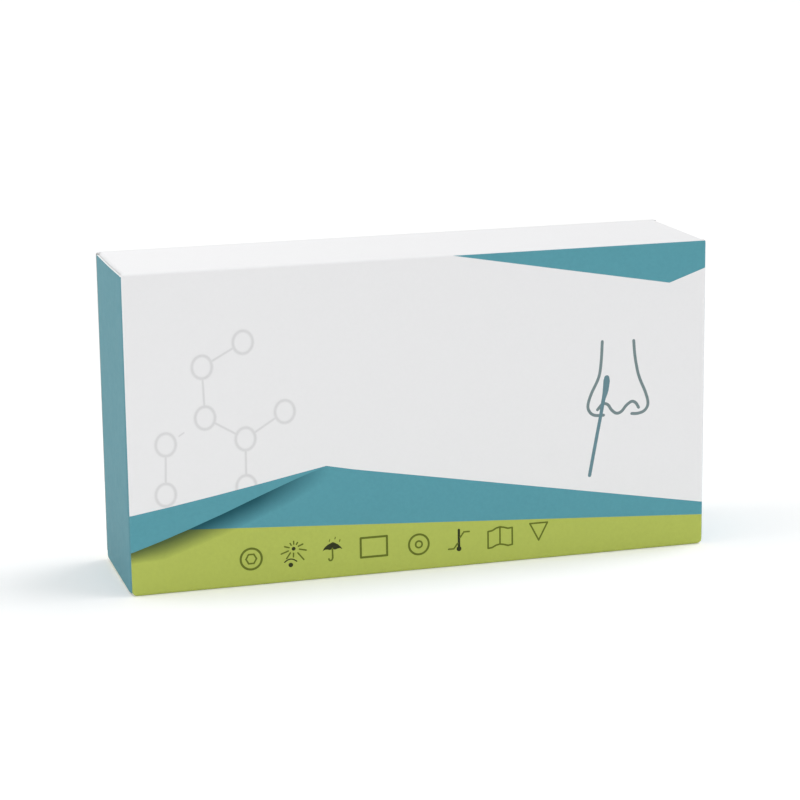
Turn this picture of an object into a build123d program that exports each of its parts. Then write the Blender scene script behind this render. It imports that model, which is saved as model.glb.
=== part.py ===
from build123d import *
import os

os.makedirs("parts", exist_ok=True)

# Folding carton with a tuck closure at each end, and the kit that it holds.
# Millimetres. The carton stands on its long narrow side: X along its length, the printed front panel
# faces -Y, +Z up. The origin is the middle of the resting face.

# ---- driving dimensions -------------------------------------------------------------------------
LENGTH = 165.0            # outside, along X
DEPTH = 39.0              # outside, along Y
HEIGHT = 88.0             # outside, along Z
CARD = 0.5                # board thickness
FOLD_R = 0.9              # outer radius of a crease
FOLD_C = FOLD_R - CARD / 2    # the same crease at the middle of the board

GLUE_FLAP = 13.0          # glue flap's width, inside the bottom panel
GLUE_TAPER = 7.0          # how much its free edge is shorter at each end
END_GAP = 0.3             # closure flap's inner face to the dust flaps
END_SET = CARD + END_GAP  # dust flap's outer face, in from the closure's outer face

DUST_LENGTH = 27.0        # dust flap, from the top or bottom face to its free edge
DUST_FRONT = 0.6          # dust flap to the front panel
DUST_BACK = 2.1           # dust flap to the back panel, where the tuck tongue passes
DUST_TAPER = 5.0          # its back edge leans in by this much
DUST_CORNER = 4.0

CLOSURE_INSET = 0.8       # closure flap's top and bottom edge, in from the carton's faces
CLOSURE_CORNER_LOW = 2.2  # its two corners at the tuck crease
CLOSURE_CORNER_TOP = 0.8
TUCK_CLEAR = 0.25         # tuck tongue to the back panel, at the crease
TONGUE = 14.0             # tuck tongue's length
TONGUE_LEAN = 12.0        # degrees that it is folded past square, so that it swings clear of the back panel
TONGUE_SHOULDER = 1.7     # tongue narrower than the closure on each side
TONGUE_CORNER = 9.0

LEAFLET = (148.0, 3.0, 74.0)
POUCH = (130.0, 76.0)     # foil pouch, sealed outline
POUCH_SEAL = 9.0          # flat sealed margin
POUCH_FILM = 0.3
POUCH_FAT = 8.6           # over the cassette
SWAB_PACK = (158.0, 24.0)
SWAB_FILM = 0.4
SWAB_STICK_R = 1.25
SWAB_TIP_R = 2.4
TUBE_R = 6.8              # tube's rim and foot
TUBE_LENGTH = 64.0
CAP_R = 6.8
CAP_LENGTH = 24.0
CAP_WALL = 1.0
CAP_MOUTH = 11.0          # depth of its mouth

XE = LENGTH / 2
YE = DEPTH / 2
XT = XE - END_SET         # dust flaps' outer face
XF = XT - FOLD_R          # where the dust flap's crease begins

# ---- carton body: one creased and glued sheet -----------------------------------------------------
glue_y = YE - FOLD_R - GLUE_FLAP    # the glue flap's free edge
dust_y0, dust_y1 = -YE + CARD + DUST_FRONT, YE - CARD - DUST_BACK

with BuildPart() as carton_body:
    # the sleeve, as long as the dust flaps' outer faces are apart
    with BuildSketch(Plane.YZ.offset(-XT)):
        with Locations((0, HEIGHT / 2)):
            RectangleRounded(DEPTH, HEIGHT, FOLD_R)
            RectangleRounded(DEPTH - 2 * CARD, HEIGHT - 2 * CARD, FOLD_R - CARD, mode=Mode.SUBTRACT)
        # glued seam at the lower back edge: the bottom panel ends in a cut edge under the glue flap's crease
        with Locations((YE - FOLD_R / 2 + 0.05, (FOLD_R + CARD) / 2 - 0.05)):
            Rectangle(FOLD_R + 0.1, FOLD_R + CARD + 0.1, mode=Mode.SUBTRACT)
        with BuildLine():
            Line((YE, CARD + FOLD_R), (YE - CARD, CARD + FOLD_R))
            RadiusArc((YE - CARD, CARD + FOLD_R), (YE - FOLD_R, 2 * CARD), radius=FOLD_R - CARD)
            Polyline((YE - FOLD_R, 2 * CARD), (glue_y, 2 * CARD), (glue_y, CARD), (YE - FOLD_R, CARD))
            RadiusArc((YE - FOLD_R, CARD), (YE, CARD + FOLD_R), radius=-FOLD_R)
        make_face()
    extrude(amount=2 * XT)
    # front panel out to its closure creases, back panel out to the ends
    with BuildSketch(Plane.XZ.offset(YE - CARD)):
        with Locations((0, HEIGHT / 2)):
            Rectangle(2 * (XE - CARD - 0.1), HEIGHT - 2 * FOLD_R)
    extrude(amount=CARD)
    with BuildSketch(Plane.XZ.offset(-YE)):
        with Locations((0, HEIGHT / 2)):
            Rectangle(2 * (XE - 0.1), HEIGHT - 2 * FOLD_R - 2 * CARD)
    extrude(amount=CARD)
    # the top and bottom panels end where the dust flaps' creases begin
    with BuildSketch(Plane.XY.offset(HEIGHT - CARD)):
        for side in (-1, 1):
            with Locations((side * (XF + FOLD_R), (dust_y0 + dust_y1) / 2)):
                Rectangle(2 * FOLD_R, dust_y1 - dust_y0)
    extrude(amount=CARD, mode=Mode.SUBTRACT)
    with BuildSketch(Plane.XY):
        for side in (-1, 1):
            with Locations((side * (XF + FOLD_R), (dust_y0 + dust_y1) / 2)):
                Rectangle(2 * FOLD_R, dust_y1 - dust_y0)
    extrude(amount=CARD, mode=Mode.SUBTRACT)
    # glue flap: ends cut at a slant, clear of the dust flaps
    with BuildSketch(Plane.XY.offset(CARD)):
        for side in (-1, 1):
            with BuildLine():
                Polyline(
                    (side * (XF - 2.2), YE - FOLD_R),
                    (side * (XF - 2.2 - GLUE_TAPER), glue_y - 0.5),
                    (side * (XE + 1), glue_y - 0.5),
                    (side * (XE + 1), YE - FOLD_R),
                    close=True,
                )
            make_face()
    extrude(amount=CARD, mode=Mode.SUBTRACT)
    with BuildSketch(Plane.XY.offset(CARD)):
        for side in (-1, 1):
            with Locations((side * (XF - 2.2 + 5), YE - FOLD_R + 0.5)):
                Rectangle(10, 1.0 + FOLD_R)
    extrude(amount=FOLD_R, mode=Mode.SUBTRACT)
    # the four dust flaps, each with its crease
    for side in (-1, 1):
        for z_face, up in ((0.0, 1), (HEIGHT, -1)):
            with BuildSketch(Plane.XZ.offset(-dust_y1)):
                with BuildLine():
                    FilletPolyline(
                        (side * (XF - 0.001), z_face + up * CARD / 2),
                        (side * (XT - CARD / 2), z_face + up * CARD / 2),
                        (side * (XT - CARD / 2), z_face + up * DUST_LENGTH),
                        radius=FOLD_C,
                    )
                trace(line_width=CARD)
            extrude(amount=dust_y1 - dust_y0)
    # their outline: back edge leaning in from a short shoulder, corners rounded by a slant and a radius
    for side in (-1, 1):
        for z_face, up in ((0.0, 1), (HEIGHT, -1)):
            with BuildSketch(Plane.YZ.offset(-XT - 0.05 if side < 0 else XT - CARD - 0.05)):
                with BuildLine():
                    Polyline(
                        (dust_y1 + 0.05, z_face + up * 5.0),
                        (dust_y1 + 0.05, z_face + up * (DUST_LENGTH + 0.1)),
                        (dust_y1 - DUST_TAPER - DUST_CORNER, z_face + up * (DUST_LENGTH + 0.1)),
                        (dust_y1 - DUST_TAPER, z_face + up * (DUST_LENGTH - DUST_CORNER * 0.7)),
                        close=True,
                    )
                make_face()
                with BuildLine():
                    Line((dust_y0 - 0.05, z_face + up * (DUST_LENGTH + 0.1)), (dust_y0 - 0.05, z_face + up * (DUST_LENGTH - DUST_CORNER)))
                    Line((dust_y0 - 0.05, z_face + up * (DUST_LENGTH - DUST_CORNER)), (dust_y0, z_face + up * (DUST_LENGTH - DUST_CORNER)))
                    RadiusArc(
                        (dust_y0, z_face + up * (DUST_LENGTH - DUST_CORNER)),
                        (dust_y0 + DUST_CORNER, z_face + up * DUST_LENGTH),
                        radius=DUST_CORNER * up,
                    )
                    Line((dust_y0 + DUST_CORNER, z_face + up * DUST_LENGTH), (dust_y0 + DUST_CORNER, z_face + up * (DUST_LENGTH + 0.1)))
                    Line((dust_y0 + DUST_CORNER, z_face + up * (DUST_LENGTH + 0.1)), (dust_y0 - 0.05, z_face + up * (DUST_LENGTH + 0.1)))
                make_face()
            extrude(amount=CARD + 0.1, mode=Mode.SUBTRACT)
carton_body.part.label = "carton_body"
export_step(carton_body.part, "parts/carton_body.step")

# ---- closure flaps: panel, tuck crease and tongue, one piece each ---------------------------------
# The hinge line is the carton's outer vertical corner (+-XE, -YE). Drawn at the left end, mirrored for the right.
crease_y = YE - CARD - TUCK_CLEAR - CARD / 2
z_low, z_top = CLOSURE_INSET, HEIGHT - CLOSURE_INSET
t_low, t_top = z_low + TONGUE_SHOULDER, z_top - TONGUE_SHOULDER
panel_y1 = crease_y - FOLD_C + 0.35


def tongue_end(length):
    v = Vector(length, 0).rotate(Axis.Z, -TONGUE_LEAN)
    return (-XE + CARD / 2 + v.X, crease_y + v.Y)


with BuildPart() as left_tuck_flap:
    # panel across the end, its two corners at the tuck crease rounded
    with BuildSketch(Plane.YZ.offset(-XE)):
        with BuildLine():
            Polyline((-YE, z_top), (-YE, z_low), (panel_y1 - CLOSURE_CORNER_LOW, z_low))
            RadiusArc((panel_y1 - CLOSURE_CORNER_LOW, z_low), (panel_y1, z_low + CLOSURE_CORNER_LOW), radius=-CLOSURE_CORNER_LOW)
            Line((panel_y1, z_low + CLOSURE_CORNER_LOW), (panel_y1, z_top - CLOSURE_CORNER_TOP))
            RadiusArc((panel_y1, z_top - CLOSURE_CORNER_TOP), (panel_y1 - CLOSURE_CORNER_TOP, z_top), radius=-CLOSURE_CORNER_TOP)
            Line((panel_y1 - CLOSURE_CORNER_TOP, z_top), (-YE, z_top))
        make_face()
    extrude(amount=CARD)
    # tuck crease and tongue
    with BuildSketch(Plane.XY.offset(t_low)):
        with BuildLine():
            FilletPolyline(
                (-XE + CARD / 2, crease_y - 4.0),
                (-XE + CARD / 2, crease_y),
                tongue_end(TONGUE),
                radius=FOLD_C,
            )
        trace(line_width=CARD)
    extrude(amount=t_top - t_low)
    # the tongue's free corners are rounded
    tip = tongue_end(TONGUE)
    with BuildSketch(Plane.XZ.offset(-YE)):
        for z_c, up in ((t_low, 1), (t_top, -1)):
            with BuildLine():
                Polyline(
                    (tip[0] - TONGUE_CORNER, z_c),
                    (tip[0] - TONGUE_CORNER, z_c - up * 1.0),
                    (tip[0] + 1.0, z_c - up * 1.0),
                    (tip[0] + 1.0, z_c + up * TONGUE_CORNER),
                    (tip[0], z_c + up * TONGUE_CORNER),
                )
                RadiusArc((tip[0], z_c + up * TONGUE_CORNER), (tip[0] - TONGUE_CORNER, z_c), radius=TONGUE_CORNER * up)
            make_face()
    extrude(amount=6.0, mode=Mode.SUBTRACT)
    # the crease at the front panel is rounded on its outside
    hinge_edge = left_tuck_flap.edges().filter_by(Axis.Z).filter_by_position(Axis.Y, -YE - 0.01, -YE + 0.01).sort_by(Axis.X)[0]
    fillet(hinge_edge, radius=CARD * 0.8)
left_tuck_flap.part.label = "left_tuck_flap"
export_step(left_tuck_flap.part, "parts/left_tuck_flap.step")

with BuildPart() as right_tuck_flap:
    mirror(left_tuck_flap.part, about=Plane.YZ)
right_tuck_flap.part.label = "right_tuck_flap"
export_step(right_tuck_flap.part, "parts/right_tuck_flap.step")

# ---- what the carton holds ------------------------------------------------------------------------
floor = CARD              # inner face of the bottom panel

leaflet_y = -YE + CARD + 0.6 + LEAFLET[1] / 2
with BuildPart() as leaflet:
    with BuildSketch(Plane.YZ.offset(-LEAFLET[0] / 2)):
        with Locations((leaflet_y, floor + LEAFLET[2] / 2)):
            RectangleRounded(LEAFLET[1], LEAFLET[2], 1.2)
    extrude(amount=LEAFLET[0])
leaflet.part.label = "leaflet"
export_step(leaflet.part, "parts/leaflet.step")

pouch_y = leaflet_y + LEAFLET[1] / 2 + 0.8 + POUCH_FAT / 2
pouch_z = floor + POUCH[1] / 2
with BuildPart() as test_pouch:
    with BuildSketch(Plane.XZ.offset(-pouch_y)):
        with Locations((0, pouch_z)):
            RectangleRounded(POUCH[0], POUCH[1], 1.5)
    extrude(amount=POUCH_FILM / 2, both=True)
    for direction in (-1, 1):
        with BuildSketch(Plane.XZ.offset(-pouch_y)) as seat:
            with Locations((0, pouch_z)):
                RectangleRounded(POUCH[0] - 2 * POUCH_SEAL, POUCH[1] - 2 * POUCH_SEAL, 8)
        extrude(amount=direction * POUCH_FAT / 2, taper=38)
test_pouch.part.label = "test_pouch"
export_step(test_pouch.part, "parts/test_pouch.step")

swab_y = pouch_y + POUCH_FAT / 2 + 0.8 + SWAB_FILM / 2
swab_z = floor + SWAB_PACK[1] / 2
with BuildPart() as swab_pack:
    with BuildSketch(Plane.XZ.offset(-swab_y)):
        with Locations((0, swab_z)):
            RectangleRounded(SWAB_PACK[0], SWAB_PACK[1], 1.0)
    extrude(amount=SWAB_FILM / 2, both=True)
    # the stick and the tip under the film, on the side away from the foil pouch
    with BuildSketch(Plane.XY.offset(swab_z)):
        with BuildLine():
            Polyline(
                (-72, swab_y),
                (-72, swab_y + SWAB_STICK_R + 0.5),
                (52, swab_y + SWAB_STICK_R + 0.5),
                (56, swab_y + SWAB_TIP_R + 0.5),
                (68, swab_y + SWAB_TIP_R + 0.5),
                (71, swab_y + 1.4),
                (71, swab_y),
                close=True,
            )
        make_face()
    revolve(axis=Axis((0, swab_y, swab_z), (1, 0, 0)), revolution_arc=360)
    with BuildSketch(Plane.XZ.offset(-(swab_y - SWAB_FILM / 2))):
        with Locations((0, swab_z)):
            Rectangle(SWAB_PACK[0] + 2, SWAB_PACK[1] + 2)
    extrude(amount=6, mode=Mode.SUBTRACT)
swab_pack.part.label = "swab_pack"
export_step(swab_pack.part, "parts/swab_pack.step")

tube_y = swab_y + SWAB_TIP_R + 0.5 + 0.8 + TUBE_R
tube_z = floor + CARD + TUBE_R     # it lies on the glue flap
tube_x0 = -58.0
with BuildPart() as buffer_tube:
    with BuildSketch(Plane.XY.offset(tube_z)):
        with BuildLine():
            Polyline(
                (tube_x0, tube_y),
                (tube_x0, tube_y + TUBE_R),
                (tube_x0 + 8, tube_y + TUBE_R),
                (tube_x0 + 8, tube_y + 3.6),
                (tube_x0 + 16, tube_y + 5.4),
                (tube_x0 + TUBE_LENGTH - 3, tube_y + 5.9),
                (tube_x0 + TUBE_LENGTH - 3, tube_y + TUBE_R),
                (tube_x0 + TUBE_LENGTH, tube_y + TUBE_R),
                (tube_x0 + TUBE_LENGTH, tube_y),
                close=True,
            )
        make_face()
    revolve(axis=Axis((0, tube_y, tube_z), (1, 0, 0)), revolution_arc=360)
    fillet(buffer_tube.edges().filter_by(GeomType.CIRCLE).group_by(Axis.X)[-1], radius=0.3)
buffer_tube.part.label = "buffer_tube"
export_step(buffer_tube.part, "parts/buffer_tube.step")

cap_x0 = 22.0
with BuildPart() as dropper_cap:
    with BuildSketch(Plane.XY.offset(tube_z)):
        with BuildLine():
            Polyline(
                (cap_x0, tube_y + CAP_R - CAP_WALL),
                (cap_x0, tube_y + CAP_R),
                (cap_x0 + CAP_MOUTH + 1.2, tube_y + CAP_R),
                (cap_x0 + CAP_MOUTH + 1.2, tube_y + 3.0),
                (cap_x0 + CAP_LENGTH - 1.0, tube_y + 1.7),
                (cap_x0 + CAP_LENGTH, tube_y + 1.3),
                (cap_x0 + CAP_LENGTH, tube_y + 0.35),
                (cap_x0 + CAP_MOUTH + 2.0, tube_y + 1.4),
                (cap_x0 + CAP_MOUTH, tube_y + 2.6),
                (cap_x0 + CAP_MOUTH, tube_y + CAP_R - CAP_WALL),
                close=True,
            )
        make_face()
    revolve(axis=Axis((0, tube_y, tube_z), (1, 0, 0)), revolution_arc=360)
dropper_cap.part.label = "dropper_cap"
export_step(dropper_cap.part, "parts/dropper_cap.step")

print("leaflet y", leaflet_y, "pouch y", pouch_y, "swab y", swab_y, "tube y", tube_y, "back of tube", tube_y + TUBE_R, "inner back", YE - CARD)
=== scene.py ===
import math
import bpy
import numpy as np
from mathutils import Matrix, Vector
from mathutils.geometry import delaunay_2d_cdt


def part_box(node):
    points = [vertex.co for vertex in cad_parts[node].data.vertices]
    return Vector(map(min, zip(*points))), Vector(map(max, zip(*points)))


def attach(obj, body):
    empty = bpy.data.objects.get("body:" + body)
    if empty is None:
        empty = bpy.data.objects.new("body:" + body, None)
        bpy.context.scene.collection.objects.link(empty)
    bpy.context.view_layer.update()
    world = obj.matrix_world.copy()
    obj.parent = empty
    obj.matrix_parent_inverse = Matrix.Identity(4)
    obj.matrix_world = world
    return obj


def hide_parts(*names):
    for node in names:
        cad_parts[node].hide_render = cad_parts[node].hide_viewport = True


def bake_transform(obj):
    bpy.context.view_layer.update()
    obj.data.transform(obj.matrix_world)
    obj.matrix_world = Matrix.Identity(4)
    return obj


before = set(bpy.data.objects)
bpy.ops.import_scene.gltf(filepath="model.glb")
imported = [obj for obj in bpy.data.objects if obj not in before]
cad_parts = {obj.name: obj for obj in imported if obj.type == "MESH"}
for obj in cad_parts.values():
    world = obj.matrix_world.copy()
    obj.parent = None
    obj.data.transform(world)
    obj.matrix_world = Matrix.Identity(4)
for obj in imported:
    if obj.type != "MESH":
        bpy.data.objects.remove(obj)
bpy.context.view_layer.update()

# Shapes are worked out in millimetres and written to the meshes in metres.
MM = 0.001
XE, YE, H = 82.5, 19.5, 88.0        # half length, half depth, height
CARD = 0.5                          # board thickness
R = 0.9                             # outer radius of the sleeve's creases
A = R * math.pi / 2
HR = 0.8                            # outer radius of the closure's crease at the front panel
HA = HR * math.pi / 2
HFLAT = 0.2                         # flat strip kept on each side of that crease
XF = 80.9                           # where the dust flaps' creases begin
DUST_TURN = math.radians(92.5)      # the dust flaps lean in a little
DA = R * DUST_TURN
DUST = 27.3                         # dust flap, flat, from its crease to its free edge

# The body's blank, laid flat: u runs along the carton, v round it. The bottom panel comes first, then front, top,
# back and the glue flap.
YF = YE - R
V1 = 2 * YF
V2 = V1 + A
V3 = V2 + H - 2 * R
V4 = V3 + A
V5 = V4 + 2 * YF
V6 = V5 + A
V7 = V6 + H - 2 * R - CARD
V8 = V7 + A
V9 = V8 + 13.0


def smooth(t):
    t = min(1.0, max(0.0, t))
    return t * t * (3 - 2 * t)


def wrap(v):
    """Place and outward direction (y, z, ny, nz) of the blank's line v on the folded carton."""
    if v < V1:
        return YF - v, 0.0, 0.0, -1.0
    if v < V2:
        f = (v - V1) / R
        return -YF - R * math.sin(f), R - R * math.cos(f), -math.sin(f), -math.cos(f)
    if v < V3:
        return -YE, R + v - V2, -1.0, 0.0
    if v < V4:
        f = (v - V3) / R
        return -YF - R * math.cos(f), H - R + R * math.sin(f), -math.cos(f), math.sin(f)
    if v < V5:
        return -YF + v - V4, H, 0.0, 1.0
    if v < V6:
        f = (v - V5) / R
        return YF + R * math.sin(f), H - R + R * math.cos(f), math.sin(f), math.cos(f)
    if v < V7:
        return YE, H - R - (v - V6), 1.0, 0.0
    if v < V8:
        f = (v - V7) / R
        return YF + R * math.cos(f), CARD + R - R * math.sin(f), math.cos(f), -math.sin(f)
    return YF - (v - V8), CARD + 0.02, 0.0, -1.0


def bow(u, v, v0, v1, depth, length=81.5):
    """How far a panel dips in at one of its points: nothing at its creases, most in the middle."""
    a, b = u / length, (2 * v - v0 - v1) / (v1 - v0)
    if abs(a) >= 1 or abs(b) >= 1:
        return 0.0
    ripple = 0.10 * math.sin(u * 0.11 + v * 0.07 + 0.6) + 0.07 * math.sin(u * 0.23 - v * 0.16 + 2.1)
    return depth * ((1 - a * a) * (1 - b * b)) ** 1.5 * (1 + ripple) + 0.035 * (1 - a * a) * (1 - b * b) * math.sin(u * 0.19 + v * 0.05)


DUST_V = ((1.7, 37.0), (V4 + 0.2, V4 + 35.5))    # the dust flaps' places along v, bottom and top


def body_place(u, v):
    """Point on the sheet's printed side and its outward direction."""
    y, z, ny, nz = wrap(v)
    side = 1.0 if u > 0 else -1.0
    s = abs(u) - XF
    if s > 0 and any(a - 1e-4 <= v <= b + 1e-4 for a, b in DUST_V):
        up = 1.0 if v < V1 else -1.0
        turn = min(s / R, DUST_TURN)
        on = max(0.0, s - DA)
        curl = 0.35 * (on / DUST) ** 2 * math.sin(math.pi * min(1.0, on / DUST))
        x = XF + R * math.sin(turn) + on * math.cos(turn) - curl
        zz = z + up * (R - R * math.cos(turn) + on * math.sin(turn))
        return (side * x, y, zz), (side * math.sin(turn), 0.0, -up * math.cos(turn))
    d = 0.0
    if V2 < v < V3:
        d = bow(u, v, V2, V3, 0.22)
    elif V4 < v < V5:
        d = bow(u, v, V4, V5, 0.14)
    elif V6 < v < V7:
        d = bow(u, v, V6, V7, 0.30)
    elif v < V1:
        d = bow(u, v, 0.0, V1, 0.10)
    return (u, y - ny * d, z - nz * d), (0.0, ny, nz)


# Corners of the carton are knocked a little round: side in x, side in y, top or bottom, radius, how far it reaches in.
CORNERS = (
    (1, -1, -1, 2.1, 3.0),
    (-1, -1, -1, 2.1, 3.0),
    (1, -1, 1, 1.0, 2.5),
    (-1, -1, 1, 0.8, 2.0),
    (1, 1, -1, 1.2, 2.5),
    (1, 1, 1, 1.2, 2.5),
    (-1, 1, 1, 1.2, 2.5),
)


def blunt(p):
    x, y, z = p
    # the lower back corner at the left end is pushed up over a longer stretch
    if x < -77.5 and y > 11.0 and z < 7.0:
        t = min(1.0, (y - 11.0) / 8.0)
        z += 2.3 * (1 - math.sqrt(max(0.0, 1 - t * t))) * smooth((-77.5 - x) / 4.0) * (1 - z / 7.0) ** 2
    for sx, sy, sz, r, reach in CORNERS:
        a, b, c = XE - sx * x, YE - sy * y, (H - z if sz > 0 else z)
        if a < r and c < r and b < reach:
            qa, qc = r - a, r - c
            rho = math.hypot(qa, qc)
            if rho > r:
                k = 1 - (1 - r / rho) * (1 - smooth(b / reach))
                a, c = r - qa * k, r - qc * k
                x, z = sx * (XE - a), (H - c if sz > 0 else c)
    return (x, y, z)


# ---- outlines and triangulation -------------------------------------------------------------------


def inside(poly, pts):
    """Which points lie in a closed polygon, by winding number."""
    x, y = pts[:, 0], pts[:, 1]
    wind = np.zeros(len(pts), int)
    for i in range(len(poly)):
        (x0, y0), (x1, y1) = poly[i - 1], poly[i]
        if y0 == y1:
            continue
        left = (x1 - x0) * (y - y0) - (x - x0) * (y1 - y0)
        wind += ((y0 <= y) & (y1 > y) & (left > 0)).astype(int)
        wind -= ((y0 > y) & (y1 <= y) & (left < 0)).astype(int)
    return wind != 0


def triangulate(outline, lines, points, clear=0.09):
    """Triangles inside outline that keep to every line. lines are (points, closed)."""
    verts, edges = [], []
    for pts, closed in [(outline, True)] + lines:
        n0, n = len(verts), len(pts)
        verts += [tuple(p) for p in pts]
        edges += [(n0 + i, n0 + i + 1) for i in range(n - 1)]
        if closed:
            edges.append((n0 + n - 1, n0))
    if len(points):
        P = np.array(points, float)
        near = np.zeros(len(P), bool)
        V = np.array(verts, float)
        for i, j in edges:
            a, b = V[i], V[j]
            lo, hi = np.minimum(a, b) - clear, np.maximum(a, b) + clear
            k = np.nonzero(((P > lo) & (P < hi)).all(1) & ~near)[0]
            if not len(k):
                continue
            ab = b - a
            t = np.clip(((P[k] - a) @ ab) / max(ab @ ab, 1e-12), 0, 1)
            near[k] = np.hypot(*(P[k] - a - t[:, None] * ab).T) < clear
        P = P[~near]
        verts += [tuple(p) for p in P]
    out = delaunay_2d_cdt([Vector(p) for p in verts], edges, [], 0, 1e-4, False)
    co = np.array([tuple(p) for p in out[0]], float)
    tri = np.array(out[2], int)
    mid = co[tri].mean(1)
    tri = tri[inside(outline, mid)]
    a, b, c = co[tri[:, 0]], co[tri[:, 1]], co[tri[:, 2]]
    area = (b[:, 0] - a[:, 0]) * (c[:, 1] - a[:, 1]) - (b[:, 1] - a[:, 1]) * (c[:, 0] - a[:, 0])
    tri = tri[np.abs(area) > 1e-7]
    used = np.unique(tri)
    new = np.full(len(co), -1)
    new[used] = np.arange(len(used))
    return co[used], new[tri]


def sheet_mesh(name, flat, tris, ink, place, mats, flip=False, crease=None, warp=blunt):
    """A closed sheet of board: printed side, plain side and cut edges, folded by place()."""
    n = len(flat)
    outer, inner = [], []
    for u, v in flat:
        p, d = place(u, v)
        outer.append(warp(p))
        inner.append(warp(tuple(p[i] - CARD * d[i] for i in range(3))))
    faces = [tuple(t) if not flip else (t[0], t[2], t[1]) for t in tris.tolist()]
    index = list(ink)
    seen = {}
    for f in faces:
        for i in range(3):
            seen[(f[i], f[(i + 1) % 3])] = True
    rim = [(a, b) for a, b in seen if (b, a) not in seen]
    back = [(f[0] + n, f[2] + n, f[1] + n) for f in faces]
    sides = [(b, a, a + n, b + n) for a, b in rim]
    mesh = bpy.data.meshes.new(name)
    mesh.from_pydata([tuple(c * MM for c in p) for p in outer + inner], [], faces + back + sides)
    for m in mats:
        mesh.materials.append(MAT[m])
    k_in, k_edge = mats.index("board_inside"), mats.index("board_edge")
    mesh.polygons.foreach_set("material_index", index + [k_in] * len(back) + [k_edge] * len(sides))
    mesh.polygons.foreach_set("use_smooth", [True] * len(mesh.polygons))
    at = mesh.attributes.new("crease", "FLOAT", "POINT")
    near = [crease(u, v) for u, v in flat] if crease else [0.0] * n
    at.data.foreach_set("value", near + near)
    mesh.update()
    mesh.set_sharp_from_angle(angle=math.radians(32))
    obj = bpy.data.objects.new(name, mesh)
    bpy.context.scene.collection.objects.link(obj)
    return obj


def plain_mesh(name, verts, faces, mats, index=None, sharp=35.0):
    mesh = bpy.data.meshes.new(name)
    mesh.from_pydata([tuple(c * MM for c in p) for p in verts], [], faces)
    for m in mats:
        mesh.materials.append(MAT[m])
    if index:
        mesh.polygons.foreach_set("material_index", index)
    mesh.polygons.foreach_set("use_smooth", [True] * len(mesh.polygons))
    mesh.update()
    mesh.set_sharp_from_angle(angle=math.radians(sharp))
    obj = bpy.data.objects.new(name, mesh)
    bpy.context.scene.collection.objects.link(obj)
    return obj


# ---- materials ------------------------------------------------------------------------------------
MAT = {}


def lin(r, g, b):
    f = lambda c: c / 12.92 if c <= 0.04045 else ((c + 0.055) / 1.055) ** 2.4
    return (f(r / 255), f(g / 255), f(b / 255))


class Nodes:
    def __init__(self, name):
        self.mat = bpy.data.materials.new(name)
        self.mat.use_nodes = True
        self.t = self.mat.node_tree
        self.bsdf = self.t.nodes["Principled BSDF"]
        self.coord = self.t.nodes.new("ShaderNodeTexCoord")
        MAT[name] = self.mat

    def link(self, a, b):
        self.t.links.new(a, b)

    def noise(self, scale, detail=3.0, rough=0.55, stretch=None, distort=0.0):
        n = self.t.nodes.new("ShaderNodeTexNoise")
        n.inputs["Scale"].default_value = scale
        n.inputs["Detail"].default_value = detail
        n.inputs["Roughness"].default_value = rough
        n.inputs["Distortion"].default_value = distort
        src = self.coord.outputs["Object"]
        if stretch:
            m = self.t.nodes.new("ShaderNodeMapping")
            m.inputs["Scale"].default_value = stretch
            self.link(src, m.inputs["Vector"])
            src = m.outputs["Vector"]
        self.link(src, n.inputs["Vector"])
        return n.outputs["Fac"]

    def ramp(self, src, a, b, lo=0.0, hi=1.0, smooth_step=False):
        n = self.t.nodes.new("ShaderNodeMapRange")
        if smooth_step:
            n.interpolation_type = "SMOOTHSTEP"
        n.inputs["From Min"].default_value = a
        n.inputs["From Max"].default_value = b
        n.inputs["To Min"].default_value = lo
        n.inputs["To Max"].default_value = hi
        self.link(src, n.inputs["Value"])
        return n.outputs["Result"]

    def math(self, op, a, b=None, clamp=False):
        n = self.t.nodes.new("ShaderNodeMath")
        n.operation = op
        n.use_clamp = clamp
        for i, x in enumerate((a, b)):
            if x is None:
                continue
            if isinstance(x, (int, float)):
                n.inputs[i].default_value = x
            else:
                self.link(x, n.inputs[i])
        return n.outputs[0]

    def mix(self, fac, a, b):
        n = self.t.nodes.new("ShaderNodeMix")
        n.data_type = "RGBA"
        for sock, x in ((n.inputs["Factor"], fac), (n.inputs[6], a), (n.inputs[7], b)):
            if isinstance(x, (int, float)):
                sock.default_value = x
            elif isinstance(x, tuple):
                sock.default_value = (*x, 1.0)
            else:
                self.link(x, sock)
        return n.outputs[2]

    def bump(self, height, distance, strength=1.0, normal=None):
        n = self.t.nodes.new("ShaderNodeBump")
        n.inputs["Strength"].default_value = strength
        n.inputs["Distance"].default_value = distance
        self.link(height, n.inputs["Height"])
        if normal is not None:
            self.link(normal, n.inputs["Normal"])
        return n.outputs["Normal"]

    def set(self, **kw):
        for k, v in kw.items():
            self.bsdf.inputs[k.replace("_", " ")].default_value = v


FIBRE = lin(236, 236, 233)          # the board's white core, where ink has cracked


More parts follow.
